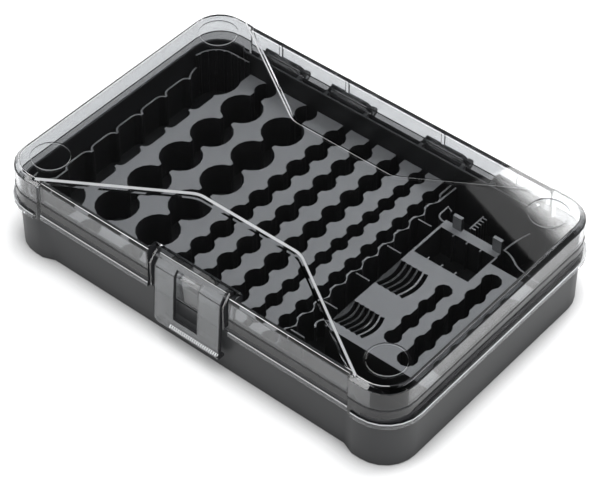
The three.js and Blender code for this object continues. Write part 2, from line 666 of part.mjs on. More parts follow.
// Line of the wall behind the small-cell tray: from the back, round a corner and down its step
function steppedLine() {
  const x = smallLeft + bay.wallX;
  const high = small.backY + bay.backClear;
  const low = small.stepY + bay.stepClear;
  const back = Array.from({ length: bay.bowSteps }, (_, i) => {
    const t = 1 - i / bay.bowSteps;
    return point(x + bay.bow * t * t, high + bay.backRun * t);
  });
  const fall = Array.from({ length: bay.fallSteps + 1 }, (_, i) => {
    const t = i / bay.fallSteps;
    return point(
      x + bay.flatRun + t * bay.fallRun, THREE.MathUtils.lerp(high, low, (1 - Math.cos(Math.PI * t)) / 2),
    );
  });
  return [...back, point(x, high), ...fall, point(inner.x, low - bay.endDrop)];
}

// Comb that stands behind the small-cell tray
function comb(low) {
  const x = smallLeft + bay.combX;
  const y = small.backY + bay.combClear;
  const half = bay.ribThick / 2;
  const pitch = bay.combLength / bay.combTeeth;
  const spine = block(x - half, x + half, y, y + bay.combLength, low, bay.combTop);
  const teeth = rowOfHoles(y + pitch / 2, pitch, bay.combTeeth, 0).map((tooth) => block(
    x, x + bay.combTooth, tooth.y - half, tooth.y + half, low, bay.combTop,
  ));
  return [spine, ...teeth];
}

// Floor, cross ribs, stepped wall and comb of the open well on the right of the last column
function rightWell(column) {
  const low = tray.floorTop - tray.wall;
  const wallLow = tray.floorTop - tray.wall / 2;
  const last = column.holes.at(-1);
  const edge = column.x + last.radius;
  const floorPlate = block(splitX, lip.halfLength, -lip.halfDepth, lip.halfDepth, low, tray.floorTop);
  const ribs = rowOfHoles(-bay.ribFirstY, bay.ribPitch, bay.ribs, 0).map(({ y }) => block(
    edge, smallLeft - bay.ribStop, y - bay.ribThick / 2, y + bay.ribThick / 2, wallLow, bay.wallTop,
  ));
  const middle = edge + tray.wall / 2;
  const endWall = [
    point(middle, last.y), point(middle, last.y + last.radius), point(middle + bay.backBow, lip.halfDepth),
  ];
  return joined([
    floorPlate, ...ribs, thinWall(endWall, tray.wall, wallLow, tray.top),
    thinWall(steppedLine(), tray.wall, wallLow, bay.wallTop), ...comb(wallLow),
  ]);
}

// Main tray: one plate with thin-walled wells hanging from it
function makeTray() {
  const low = tray.floorTop - tray.wall;
  const chains = cellChains();
  const border = prism(boxOutline(lip, lip.thick + gap), low - overrun, lip.top);
  const plate = block(
    fromLeft(tray.plateLeft), splitX, -lip.halfDepth, lip.halfDepth, tray.top - tray.plate, tray.top,
  );
  const cups = chains.map((chain) => prism(cupOutline(chain, tray.wall), low, tray.top));
  const solid = joined([plate, ...cups, leftRow(tray.wall, low, tray.top), rightWell(chains.at(-1))])
    .intersect(border);
  const wells = chains.map((chain) => prism(chainOutline(chain), tray.floorTop, tray.top + overrun));
  const hollow = cutBy(solid, [...wells, leftRow(0, tray.floorTop, tray.top + overrun)]);
  return joined([hollow, upstand(1), upstand(-1)]);
}

// Chain of round wells in the small-cell tray
const smallChain = ({ x, firstY, pitch, count, radius, neck, steps }) => ({
  x, holes: rowOfHoles(-firstY, pitch, count, radius), neck, steps,
});

// Plan outline of the small-cell tray, stepped at its back right
function smallOutline(inset) {
  return [
    point(inset, -small.frontY + inset), point(smallLength - inset, -small.frontY + inset),
    point(smallLength - inset, small.stepY - inset), point(small.stepX - inset, small.stepY - inset),
    point(small.stepX - inset, small.backY - inset), point(inset, small.backY - inset),
  ];
}

// Bowed slots that stand coin-shaped cells on edge
function coinSlots({ left, right, front, back, slots }) {
  const pitch = (right - left) / slots;
  const width = pitch * (1 - coinSlot.wallShare);
  const run = back - front - 2 * coinSlot.edge;
  return Array.from({ length: slots }, (_, i) => {
    const x = left + i * pitch + pitch / 2 - coinSlot.bow / 2;
    const line = Array.from({ length: coinSlot.steps + 1 }, (_, k) => {
      const t = k / coinSlot.steps;
      return point(x + coinSlot.bow * Math.sin(Math.PI * t), front + coinSlot.edge + t * run);
    });
    return thinWall(line, width, tray.top - coinSlot.depth, tray.top + overrun);
  });
}

// Well with four bays, parted by short ticks at its front and back
function fourBayWell() {
  const { left, right, front, back, dividers, tick, thick, floor } = fourBay;
  const open = block(left, right, front, back, floor, tray.top + overrun);
  const pitch = (right - left) / (dividers + 1);
  const ticks = Array.from({ length: dividers }, (_, i) => left + (i + 1) * pitch).flatMap((x) => [
    block(x - thick / 2, x + thick / 2, front, front + tick, floor, tray.top + overrun),
    block(x - thick / 2, x + thick / 2, back - tick, back, floor, tray.top + overrun),
  ]);
  return cutBy(open, ticks);
}

// Lift-out tray for small cells: plate, skirt, wells, finger tabs and corner clips
function makeSmallTray() {
  const plateLow = tray.top - small.plate;
  const plate = prism(smallOutline(0), plateLow, tray.top);
  const skirt = prism(smallOutline(0), small.skirtFoot, tray.top)
    .subtract(prism(smallOutline(small.wall), small.skirtFoot - overrun, plateLow + small.plate / 2));
  const chains = [chainSmall, chainLarge, chainOuter].map(smallChain);
  const cupLow = small.wellFloor - small.wall;
  const cups = chains.map((chain) => prism(cupOutline(chain, small.wall), cupLow, tray.top));
  const bayCup = block(
    fourBay.left - small.wall, fourBay.right + small.wall,
    fourBay.front - small.wall, fourBay.back + small.wall, fourBay.floor - small.wall, tray.top,
  );
  const coinCups = [coinA, coinB].map(({ left, right, front, back }) => block(
    left - small.wall, right + small.wall, front, back, tray.top - coinSlot.depth - small.wall, tray.top,
  ));
  const wells = chains.map((chain) => prism(chainOutline(chain), small.wellFloor, tray.top + overrun));
  const body = joined([plate, skirt, ...cups, bayCup, ...coinCups, ...fingerTabs(), ...cornerClips()]);
  return cutBy(body, [...wells, fourBayWell(), ...coinSlots(coinA), ...coinSlots(coinB)])
    .translate([smallLeft, 0, 0]);
}

// Two upright tabs to lift the tray by
function fingerTabs() {
  return [tab.firstX, tab.secondX].map((x) => block(
    x, x + tab.width, small.backY - tab.inset - tab.thick, small.backY - tab.inset,
    tray.top - small.plate, tray.top + tab.rise,
  ));
}

// Springy hooks at the two left corners: the back one reaches out and turns in, the front one bulges
function cornerClips() {
  const { radius, thick, steps, drop } = clip;
  const rootY = small.backY - clip.backInset;
  const turn = Math.PI / 2;
  const outX = clip.backX - radius;
  const endY = rootY + radius + clip.run;
  const back = [
    point(thick, rootY), ...arc(clip.backX, rootY + radius, radius, -turn, -2 * turn, steps),
    point(outX, endY), point(outX + clip.hookX, endY - clip.hookBack),
  ];
  const frontY = -small.frontY - clip.frontInset;
  const front = [
    point(thick, frontY + clip.rootY), ...arc(clip.frontX, frontY, radius, 1.2 * turn, 2.6 * turn, steps),
  ];
  return [back, front].map((line) => thinWall(line, thick, tray.top - drop, tray.top));
}

const box = new THREE.Group();
box.add(toMesh('tub', makeTub(), dark));
box.add(toMesh('cell_tray', makeTray(), darkTray));
box.add(toMesh('small_cell_tray', makeSmallTray(), darkTray));
box.add(toMesh('lid', makeLid(), clearPlastic));
box.add(toMesh('latch', makeLatch(), clearPlastic));
hingeCentres().forEach((x, i) => box.add(toMesh(`hinge_pin_${i + 1}`, makePin(x), dark)));

export default box;
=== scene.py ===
import math

import bmesh
import bpy
from mathutils import Matrix, Vector


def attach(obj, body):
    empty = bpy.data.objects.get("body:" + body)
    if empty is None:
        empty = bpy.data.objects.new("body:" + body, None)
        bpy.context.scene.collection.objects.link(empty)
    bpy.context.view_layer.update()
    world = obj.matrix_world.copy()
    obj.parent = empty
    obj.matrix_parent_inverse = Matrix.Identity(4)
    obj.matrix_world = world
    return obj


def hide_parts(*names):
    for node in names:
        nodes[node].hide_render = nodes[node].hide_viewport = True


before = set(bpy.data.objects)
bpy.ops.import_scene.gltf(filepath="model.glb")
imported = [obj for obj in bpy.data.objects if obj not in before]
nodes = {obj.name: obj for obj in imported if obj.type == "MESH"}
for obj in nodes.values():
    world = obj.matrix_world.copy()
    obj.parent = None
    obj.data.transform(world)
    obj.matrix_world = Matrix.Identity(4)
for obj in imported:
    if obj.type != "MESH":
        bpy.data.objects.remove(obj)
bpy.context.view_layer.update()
mm = 0.001
print("frame loaded:", len(nodes), "nodes")

# Camera, matched to the photograph: eye, lens and sensor in mm, angles in degrees
view = {"eye": (640.43, -763.82, 997.58), "azimuth": 39.854, "elevation": 44.573, "roll": 0.145,
        "lens": 137.97, "sensor": 36}


def makeCamera():
    azimuth, elevation, roll = (math.radians(view[key]) for key in ("azimuth", "elevation", "roll"))
    back = Vector((math.sin(azimuth) * math.cos(elevation), -math.cos(azimuth) * math.cos(elevation),
                   math.sin(elevation)))
    level = Vector((math.cos(azimuth), math.sin(azimuth), 0))
    rise = back.cross(level)
    right = level * math.cos(roll) + rise * math.sin(roll)
    up = rise * math.cos(roll) - level * math.sin(roll)
    data = bpy.data.cameras.new("photoCamera")
    data.lens = view["lens"]
    data.sensor_width = view["sensor"]
    camera = bpy.data.objects.new("photoCamera", data)
    turn = Matrix((right, up, back)).transposed().to_4x4()
    camera.matrix_world = Matrix.Translation(Vector(view["eye"]) * mm) @ turn
    bpy.context.collection.objects.link(camera)
    bpy.context.scene.camera = camera


makeCamera()
print("camera set")


# Helpers for materials. A socket is fed with a value, or with what comes out of another node
def feed(tree, value, socket):
    if isinstance(value, bpy.types.NodeSocket):
        tree.links.new(value, socket)
    else:
        socket.default_value = value


def addNode(tree, kind, *values, **settings):
    node = tree.nodes.new(kind)
    for key, value in settings.items():
        if key in node.inputs:
            feed(tree, value, node.inputs[key])
        else:
            setattr(node, key, value)
    for value, socket in zip(values, node.inputs):
        feed(tree, value, socket)
    return node


def newMaterial(name):
    material = bpy.data.materials.new(name)
    material.use_nodes = True
    return material, material.node_tree, material.node_tree.nodes["Principled BSDF"]


def setSockets(tree, node, values):
    for key, value in values.items():
        feed(tree, value, node.inputs[key])


def mixColor(tree, factor, first, second):
    mix = addNode(tree, "ShaderNodeMix", data_type="RGBA", Factor=factor, A=first, B=second)
    return mix.outputs["Result"]


def addMath(tree, operation, first, second):
    return addNode(tree, "ShaderNodeMath", first, second, operation=operation).outputs[0]


def addNoise(tree, coords, scale, detail):
    noise = addNode(tree, "ShaderNodeTexNoise", Vector=coords.outputs["Object"], Scale=scale, Detail=detail)
    return noise.outputs["Fac"]


def axisOf(tree, vector, axis):
    return addNode(tree, "ShaderNodeSeparateXYZ", vector).outputs[axis]


def ramp(tree, value, low, high, start=0.0, end=1.0, kind="LINEAR"):
    node = addNode(tree, "ShaderNodeMapRange", interpolation_type=kind)
    setSockets(tree, node, {"Value": value, "From Min": low, "From Max": high,
                            "To Min": start, "To Max": end})
    return node.outputs["Result"]


def dress(piece, material):
    piece.data.materials.clear()
    piece.data.materials.append(material)


# Moulded dark plastic: spark-eroded grain over a slight cloudiness between dark and light.
# Its faces keep the plastic's tone where the given mask says so, and elsewhere get painted shade, as walls
# that get no light
grain = {"scale": 2600, "detail": 2, "height": 0.12, "depth": 0.1 * mm, "cloudScale": 22, "cloudDetail": 3,
         "edgeRadius": 0.35 * mm, "edgeSamples": 4}
tubLook = {"dark": (0.023, 0.0235, 0.025, 1), "light": (0.029, 0.03, 0.031, 1),
           "paintedShade": (0.004, 0.004, 0.0045, 1), "roughness": 0.45, "shine": 0.35, "turnFade": 2 * mm,
           "lipLevel": 35.3 * mm, "lipFade": 0.3 * mm, "rimLevel": 44 * mm, "rimFade": 0.5 * mm}
# The tray's tone, far lighter than the tub's, shows only on its level tops as a painted sheen; its other
# faces get painted shade
trayLook = {"dark": (0.21, 0.212, 0.217, 1), "light": (0.245, 0.248, 0.253, 1),
            "paintedShade": (0.004, 0.004, 0.0045, 1), "roughness": 0.5, "shine": 0.3,
            "faceLevel": 28.3 * mm, "faceFade": 0.4 * mm, "levelFade": (0.5, 0.8)}
# Tones of the small tray's tabs and of the fins between its coin slots: the tabs' front faces a painted lit
# tone, the fins painted shade
tabLitLook = {**trayLook, "dark": (0.11, 0.112, 0.115, 1), "light": (0.13, 0.132, 0.136, 1)}
finShadeLook = {**trayLook, "dark": (0.025, 0.026, 0.027, 1), "light": (0.035, 0.036, 0.037, 1)}


# The plastic's own tone where a wall faces away from the box's middle below the lip, and on top of the rim;
# painted shade on the walls inside
def outsideOnly(tree, coords, look):
    level = addNode(tree, "ShaderNodeVectorMath", coords.outputs["Object"], (1, 1, 0), operation="MULTIPLY")
    turned = addNode(tree, "ShaderNodeVectorMath", level.outputs[0], coords.outputs["Normal"],
                     operation="DOT_PRODUCT")
    height = axisOf(tree, coords.outputs["Object"], "Z")
    outside = ramp(tree, turned.outputs["Value"], -look["turnFade"], 0)
    underLip = ramp(tree, height, look["lipLevel"] + look["lipFade"], look["lipLevel"])
    onRim = ramp(tree, height, look["rimLevel"], look["rimLevel"] + look["rimFade"])
    return addMath(tree, "MAXIMUM", addMath(tree, "MULTIPLY", outside, underLip), onRim)


# The piece's tone on the level top faces, and painted shade on all its other faces, walls and wells
def topOnly(tree, coords, look):
    height = axisOf(tree, coords.outputs["Object"], "Z")
    high = ramp(tree, height, look["faceLevel"] - look["faceFade"], look["faceLevel"])
    level = ramp(tree, axisOf(tree, coords.outputs["Normal"], "Z"), *look["levelFade"])
    return addMath(tree, "MULTIPLY", high, level)


def makeMoulded(name, look, findUnshaded=None):
    material, tree, shader = newMaterial(name)
    coords = addNode(tree, "ShaderNodeTexCoord")
    cloud = addNoise(tree, coords, grain["cloudScale"], grain["cloudDetail"])
    speck = addNoise(tree, coords, grain["scale"], grain["detail"])
    color = mixColor(tree, cloud, look["dark"], look["light"])
    if findUnshaded:
        color = mixColor(tree, findUnshaded(tree, coords, look), look["paintedShade"], color)
    edge = addNode(tree, "ShaderNodeBevel", samples=grain["edgeSamples"], Radius=grain["edgeRadius"])
    bump = addNode(tree, "ShaderNodeBump", Strength=grain["height"], Distance=grain["depth"],
                   Height=speck, Normal=edge.outputs["Normal"])
    setSockets(tree, shader, {"Base Color": color, "Roughness": look["roughness"],
                              "Specular IOR Level": look["shine"], "Normal": bump.outputs["Normal"]})
    return material


tubPlastic = makeMoulded("tubPlastic", tubLook, outsideOnly)
trayPlastic = makeMoulded("trayPlastic", trayLook, topOnly)
finShadePlastic = makeMoulded("finShadePlastic", finShadeLook, topOnly)
tabLitPlastic = makeMoulded("tabLitPlastic", tabLitLook)

# Clear plastic, smoky: it refracts, and its shadow colour lets light through to what lies under it.
# An edge or a wall seen along its thickness is clear only in part: pale ones get painted highlight, dark ones
# painted shade
clearIor = 1.49
clearLook = {"color": (0.78, 0.79, 0.8, 1), "roughness": 0.02, "shadow": (0.86, 0.87, 0.88, 1),
             "shine": 0.5, "clearShare": 1.0}
# The walls' pale haze stands in for the reflection they show: painted reflection
wallSheenLook = {"color": (0.74, 0.75, 0.76, 1), "roughness": 0.06, "shadow": (0.8, 0.81, 0.82, 1),
            "shine": 0.5, "clearShare": 0.945}
# A dark smoky tint for the skirt and other faces that hide what lies behind: painted shade
tintedShadeLook = {"color": (0.1, 0.102, 0.105, 1), "roughness": 0.04, "shadow": (0.8, 0.81, 0.82, 1),
             "shine": 0.12, "clearShare": 1.0}
# Pale edges and the near-white rim are painted highlights
edgeGlintLook = {"color": (0.66, 0.67, 0.68, 1), "roughness": 0.3, "shadow": (0.8, 0.81, 0.82, 1),
            "shine": 0.5, "clearShare": 0.2}
rimGlintLook = {**edgeGlintLook, "color": (0.92, 0.93, 0.94, 1), "clearShare": 0.05}
# Dark lines along edges seen end-on: painted shade
shadeLook = {"color": (0.03, 0.03, 0.032, 1), "roughness": 0.2, "shadow": (0.6, 0.61, 0.62, 1),
             "shine": 0.15, "clearShare": 0.12}
latchLook = {"color": (0.5, 0.51, 0.52, 1), "roughness": 0.08, "shadow": (0.75, 0.76, 0.77, 1),
             "shine": 0.3, "clearShare": 0.86}
# The latch head's upward slope is lighter: a lit copy of the latch's plastic, painted light
headLitLook = {**latchLook, "color": (0.56, 0.57, 0.58, 1), "clearShare": 0.7}


def makeClear(name, look):
    material, tree, shader = newMaterial(name)
    setSockets(tree, shader, {"Base Color": look["color"], "Transmission Weight": look["clearShare"],
                              "Roughness": look["roughness"], "Specular IOR Level": look["shine"],
                              "IOR": clearIor})
    through = addNode(tree, "ShaderNodeBsdfTransparent", Color=look["shadow"])
    path = addNode(tree, "ShaderNodeLightPath")
    mix = addNode(tree, "ShaderNodeMixShader", path.outputs["Is Shadow Ray"], shader.outputs["BSDF"],
                  through.outputs["BSDF"])
    tree.links.new(mix.outputs["Shader"], tree.nodes["Material Output"].inputs["Surface"])
    return material


clearPlastic = makeClear("clearPlastic", clearLook)
clearWallSheen = makeClear("clearWallSheen", wallSheenLook)
clearTintedShade = makeClear("clearTintedShade", tintedShadeLook)
clearEdgeGlint = makeClear("clearEdgeGlint", edgeGlintLook)
clearShade = makeClear("clearShade", shadeLook)
clearRimGlint = makeClear("clearRimGlint", rimGlintLook)
headLitPlastic = makeClear("headLitPlastic", headLitLook)
latchPlastic = makeClear("latchPlastic", latchLook)

# Steel of the hinge pins, dark, with bright patches scattered by noise as painted glints
pinLook = {"dark": (0.01, 0.01, 0.011, 1), "light": (0.85, 0.86, 0.87, 1), "scale": 700, "detail": 2,
           "patchFade": (0.45, 0.6), "metal": 0.9, "roughness": 0.3}


def makeSteel(name, look):
    material, tree, shader = newMaterial(name)
    patch = addNoise(tree, addNode(tree, "ShaderNodeTexCoord"), look["scale"], look["detail"])
    color = mixColor(tree, ramp(tree, patch, *look["patchFade"]), look["dark"], look["light"])
    setSockets(tree, shader, {"Base Color": color, "Metallic": look["metal"],
                              "Roughness": look["roughness"]})
    return material


pinSteel = makeSteel("pinSteel", pinLook)
print("materials made")

# What holds for every piece: lengths in mm, angles in degrees.
# A lean is the part of a face's normal along an axis that counts as turned that way
skin = {"join": 0.001, "cut": 0.01, "flatAngle": 0.3, "edgeAngle": 25, "roundSteps": 2,
        "smoothAngle": 32, "traySmoothAngle": 40}
near = 0.1          # a face this close to a level is at that level
edgeNear = 0.02     # the same for the ends of an edge
lean = {"level": 0.95, "square": 0.9, "front": 0.7, "toward": 0.5, "steep": 0.3, "upright": 0.1}
slopeLean = (0.6, 0.8)      # upward lean of a slope of about 45 degrees


# A node's shape as one joined skin, to be rounded and shaded as the mould leaves it. Dissolve makes whole
# faces of its flat triangles, so that its edges can be rounded
def openNode(name, dissolve=False):
    form = bmesh.new()
    form.from_mesh(nodes[name].data)
    bmesh.ops.remove_doubles(form, verts=form.verts, dist=skin["join"] * mm)
    if dissolve:
        flat = math.radians(skin["flatAngle"])
        bmesh.ops.dissolve_limit(form, angle_limit=flat, verts=form.verts, edges=form.edges)
    for face in form.faces:
        face.material_index = 0
    form.normal_update()
    return form


# The finishes of a piece are its materials by name, in the order of its material slots
def closeForm(form, name, node, body, finishes, smoothAngle=skin["smoothAngle"]):
    form.normal_update()
    for edge in form.edges:
        edge.smooth = edge.calc_face_angle(math.pi) < math.radians(smoothAngle)
    for face in form.faces:
        face.smooth = True
    mesh = bpy.data.meshes.new(name)
    for material in finishes.values():
        mesh.materials.append(material)
    form.to_mesh(mesh)
    form.free()
    piece = bpy.data.objects.new(name, mesh)
    bpy.context.collection.objects.link(piece)
    finish = piece.modifiers.new("evenNormals", "WEIGHTED_NORMAL")
    finish.keep_sharp = True
    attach(piece, body)
    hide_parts(node)
    print(name, "made:", len(mesh.polygons), "faces")


def paint(faces, finishes, finish):
    for face in faces:
        face.material_index = list(finishes).index(finish)


def finishOf(face, finishes):
    return list(finishes)[face.material_index]


def pick(geom, kind):
    return [item for item in geom if isinstance(item, kind)]


def withEdges(faces):
    edges = [edge for face in faces for edge in face.edges]
    verts = [vert for face in faces for vert in face.verts]
    return list(dict.fromkeys(faces + edges + verts))


def cutFaces(form, faces, place, normal):
    made = bmesh.ops.bisect_plane(form, geom=withEdges(faces), plane_co=[value * mm for value in place],
                                  plane_no=normal, dist=skin["cut"] * mm)
    return pick(made["geom"], bmesh.types.BMFace)


# Pulls faces along as one region, and gives the faces that moved
def pullFaces(form, faces, move):
    made = bmesh.ops.extrude_face_region(form, geom=withEdges(faces))["geom"]
    corners = pick(made, bmesh.types.BMVert)
    bmesh.ops.translate(form, verts=corners, vec=[value * mm for value in move])
    form.normal_update()
    return pick(made, bmesh.types.BMFace)


def facesOutward(face):
    middle = face.calc_center_median()
    return face.normal.x * middle.x + face.normal.y * middle.y > 0


def isAt(item, level, tolerance=edgeNear):
    return all(abs(vert.co.z / mm - level) < tolerance for vert in item.verts)


def isSharp(edge):
    return edge.is_convex and edge.calc_face_angle(0) > math.radians(skin["edgeAngle"])


def outerEdgesAt(form, level):
    return [edge for edge in form.edges if isAt(edge, level) and isSharp(edge)
            and any(abs(face.normal.z) < lean["level"] and facesOutward(face) for face in edge.link_faces)]


# Rounds those of the edges that earlier rounding has left
def roundEdges(form, edges, radius):
    made = bmesh.ops.bevel(form, geom=[edge for edge in edges if edge.is_valid], offset=radius * mm,
                           offset_type="OFFSET", segments=skin["roundSteps"], profile=0.5, affect="EDGES",
                           clamp_overlap=True, material=-1)
    form.normal_update()
    return made["faces"]


# Clear lid: its levels, the radii of its edges, and the places that take a finish of their own
lid = {
    "levels": {"flangeFoot": 35.4, "flangeTop": 39.0, "footLine": 42.3, "backFoot": 45.0, "creaseLine": 47.8,
               "crease": 48.6, "wallTop": 62.0, "panel": 64.4, "ringFloor": 64.9, "top": 65.5},
    "rounds": {"flangeFoot": 0.4, "flangeTop": 0.5, "ridge": 0.5, "wallTop": 0.34, "top": 0.42},
    "roundLeans": {"front": 0.4, "right": 0.5, "back": 0.25},
    "outline": {"x": 120, "y": 94, "leans": (0.2, 0.9)},    # the top's outer edges lie beyond this
    "panelReach": {"x": 130, "y": 88},      # and the raised panel's slopes within this
    "cornerLean": 0.25,     # for the walls of the front right corner
    "chamferLow": 60.3,     # chamfers over the walls reach above this
    "rings": {"x": 128.8, "y": 76.0, "radius": 12.5},
    "ribs": {"front": 97.2, "low": 50},
    "hinges": {"front": 97.3, "low": 39, "high": 51, "knuckle": 98.2, "half": 110, "topLean": 0.6},
    "bay": {"half": 34, "back": -87, "wallHalf": 27, "wallFront": -95, "slopeCut": 55.0},
    "footDrop": 6.5,
    "footStrips": ((0, 20.1), (23.5, 51.9), (55.3, 74.6), (78.0, 106.4), (109.8, 117.1)),   # to either side
}
lidFinishes = {"clear": clearPlastic, "wall": clearWallSheen, "edge": clearEdgeGlint, "skirt": clearTintedShade,
               "shade": clearShade, "bay": latchPlastic, "rim": clearRimGlint}


# Painted shade where a face is seen along its thickness or hides what lies behind, painted highlight where an
# edge catches light
def lidFinish(face):
    levels, rings, ribs, hinges, bay = (lid[key] for key in ("levels", "rings", "ribs", "hinges", "bay"))
    heights = [vert.co.z / mm for vert in face.verts]
    low, high = min(heights), max(heights)
    x, y, z = face.calc_center_median() / mm
    normal = face.normal
    steep = abs(normal.z) < lean["steep"]
    outer = steep and facesOutward(face)
    away = normal.x < -lean["toward"] or normal.y > lean["toward"]

    def between(floor, ceiling):
        return low > levels[floor] - near and high < levels[ceiling] + near

    if steep and low > levels["ringFloor"] - near:
        fromRing = math.hypot(abs(x) - rings["x"], abs(y) - rings["y"])
        return "shade" if fromRing > rings["radius"] else "edge"
    inHinge = y > hinges["front"] and hinges["low"] < z < hinges["high"]
    inBay = abs(x) < bay["half"] and y < bay["back"]
    onRib = y > ribs["front"] and ribs["low"] < z < levels["wallTop"]
    if abs(normal.x) > lean["square"] and (inHinge or inBay or onRib):
        return "shade"
    if inHinge and y > hinges["knuckle"] and abs(x) < hinges["half"] and normal.z < hinges["topLean"]:
        return "skirt"
    if normal.y < -lean["toward"] and abs(x) < bay["wallHalf"] and bay["wallFront"] < y < bay["back"]:
        return "bay" if low < bay["slopeCut"] - near else "skirt"
    if between("crease", "crease"):
        return "shade"
    if outer and not away and between("flangeTop", "footLine"):
        return "shade"
    if outer and low > levels["creaseLine"] - near:
        if high < levels["crease"] + near:
            return "shade"
        if normal.x > lid["cornerLean"] and normal.y < -lid["cornerLean"]:
            return "skirt"
        if high < levels["top"] - near:
            return "wall"
    if steep and between("flangeFoot", "flangeTop"):
        return "shade" if away else "wall"
    if outer and high < levels["crease"] + near:
        return "skirt"
    onPanel = abs(x) < lid["panelReach"]["x"] and abs(y) < lid["panelReach"]["y"]
    if slopeLean[0] < normal.z < slopeLean[1] and high > levels["panel"] + near and onPanel:
        return "edge"
    onChamfer = lean["steep"] < abs(normal.z) < lean["square"] and high > lid["chamferLow"]
    if onChamfer and low > levels["crease"] and normal.x > lean["toward"]:
        return "skirt"
    if normal.z > lean["square"] and abs(low - levels["flangeTop"]) < near:
        return "skirt"
    return "clear"


# The back wall's foot goes on down between the tub's lugs, close behind the lip
def lowerBackFoot(form):
    foot = [face for face in form.faces
            if face.normal.z < -lean["square"] and isAt(face, lid["levels"]["backFoot"])]
    ends = [end for strip in lid["footStrips"] for end in strip if end > 0]
    for x in sorted(side * end for end in ends for side in (-1, 1)):
        foot = cutFaces(form, foot, (x, 0, 0), (1, 0, 0))
    inStrips = [face for face in foot if any(inner <= abs(face.calc_center_median().x / mm) < outer
                                             for inner, outer in lid["footStrips"])]
    moved = pullFaces(form, inStrips, (0, 0, -lid["footDrop"]))
    corners = {vert for face in moved for vert in face.verts}
    return [face for face in form.faces if any(vert in corners for vert in face.verts)]


# The slope behind the latch, to be cut where the latch's head ends
def baySlope(form):
    bay = lid["bay"]
    return [face for face in form.faces if -slopeLean[1] < face.normal.y < -slopeLean[0]
            and abs(face.calc_center_median().x) < bay["wallHalf"] * mm
            and face.calc_center_median().y < bay["back"] * mm]


# The skirt's outer faces, to be cut at a height. The narrow bands under its crease and over the flange get
# painted shade, because the bends there hide what lies behind
def skirtFacesAt(form, height):
    def crosses(face):
        heights = [vert.co.z / mm for vert in face.verts]
        return min(heights) < height < max(heights) < lid["levels"]["crease"] + near
    return [face for face in form.faces
            if abs(face.normal.z) < lean["upright"] and facesOutward(face) and crosses(face)]


# Outer edges of the lid's top, on the raised panel and on the low ones
def topOutline(form):
    outline, levels = lid["outline"], lid["levels"]
    least, most = outline["leans"]
    chosen = []
    for edge in form.edges:
        middle = (edge.verts[0].co + edge.verts[1].co) / (2 * mm)
        outside = abs(middle.y) > outline["y"] or abs(middle.x) > outline["x"]
        chamfered = any(least < face.normal.z < most and facesOutward(face) for face in edge.link_faces)
        level = any(face.normal.z > lean["level"] for face in edge.link_faces)
        atTop = isAt(edge, levels["panel"], near / 2) or isAt(edge, levels["top"], near / 2)
        if atTop and outside and chamfered and level:
            chosen.append(edge)
    return chosen


# Edges where the raised panel's slope meets its level top
def topRidges(form):
    return [edge for edge in form.edges if isSharp(edge)
            and min(vert.co.z for vert in edge.verts) > (lid["levels"]["top"] - edgeNear) * mm
            and {finishOf(face, lidFinishes) for face in edge.link_faces} == {"clear", "edge"}
            and any(slopeLean[0] < face.normal.z < slopeLean[1] for face in edge.link_faces)]


# Rounded edges get a painted highlight, painted shade or the walls' painted reflection, by their place and
# facing
def roundFinish(mark, normal):
    leans = lid["roundLeans"]
    atFront = normal.y < -leans["front"] and normal.x < leans["right"]
    if mark == "wallTop":
        return "wall" if atFront else "shade"
    if mark == "top" and normal.y > leans["back"]:
        return "clear"
    if mark == "top":
        return "rim" if atFront else "shade"
    return "edge"


def makeLid():
    levels, rounds = lid["levels"], lid["rounds"]
    form = openNode("lid", dissolve=True)
    lowered = lowerBackFoot(form)
    cutFaces(form, baySlope(form), (0, 0, lid["bay"]["slopeCut"]), (0, 0, 1))
    for line in ("creaseLine", "footLine"):
        cutFaces(form, skirtFacesAt(form, levels[line]), (0, 0, levels[line]), (0, 0, 1))
    for face in form.faces:
        paint([face], lidFinishes, lidFinish(face))
    # The lowered foot strips get painted shade
    paint([face for face in lowered if face.is_valid], lidFinishes, "shade")
    outlines = {"top": topOutline(form)}
    for mark in ("wallTop", "flangeTop", "flangeFoot"):
        outlines[mark] = outerEdgesAt(form, levels[mark])
    for mark, edges in outlines.items():
        for face in roundEdges(form, edges, rounds[mark]):
            paint([face], lidFinishes, roundFinish(mark, face.normal))
    # The raised panel's ridges get a painted highlight, whiter on the back ones
    for face in roundEdges(form, topRidges(form), rounds["ridge"]):
        paint([face], lidFinishes, "rim" if face.calc_center_median().y > 0 else "edge")
    closeForm(form, "clearLid", "lid", "lid", lidFinishes)


# Latch: ribbed grip along its foot with a painted highlight, and painted shade at the window's sides
latch = {
    "grip": {"left": -12.0, "right": 25.4, "low": 15.8, "high": 18.2, "front": -100.5, "pitch": 1.6,
             "groove": 0.8, "depth": (0, 0.45, -0.3)},
    "bend": 56.3, "headTop": 63.1, "lipFront": -97, "border": 24.8,
    "rounds": {"bend": 0.3, "headTop": 0.35},
}
latchFinishes = {"plate": latchPlastic, "shade": clearShade, "head": headLitPlastic, "rim": clearRimGlint}


def latchFinish(face):
    grip = latch["grip"]
    x, y, z = face.calc_center_median() / mm
    normal = face.normal
    onGrip = y < grip["front"] and grip["low"] < z < grip["high"]
    if onGrip and abs(normal.x) < lean["toward"] and normal.z > -lean["steep"]:
        return "rim"
    if normal.z > lean["toward"] and normal.y < -lean["front"]:
        return "head"
    onSide = abs(normal.x) > lean["square"]
    onLip = normal.z > lean["square"] and y < latch["lipFront"]
    underHead = normal.z < -lean["square"] and z > latch["bend"]
    return "shade" if onSide or onLip or underHead else "plate"


def gripFaces(form):
    return [face for face in form.faces if finishOf(face, latchFinishes) == "rim"]


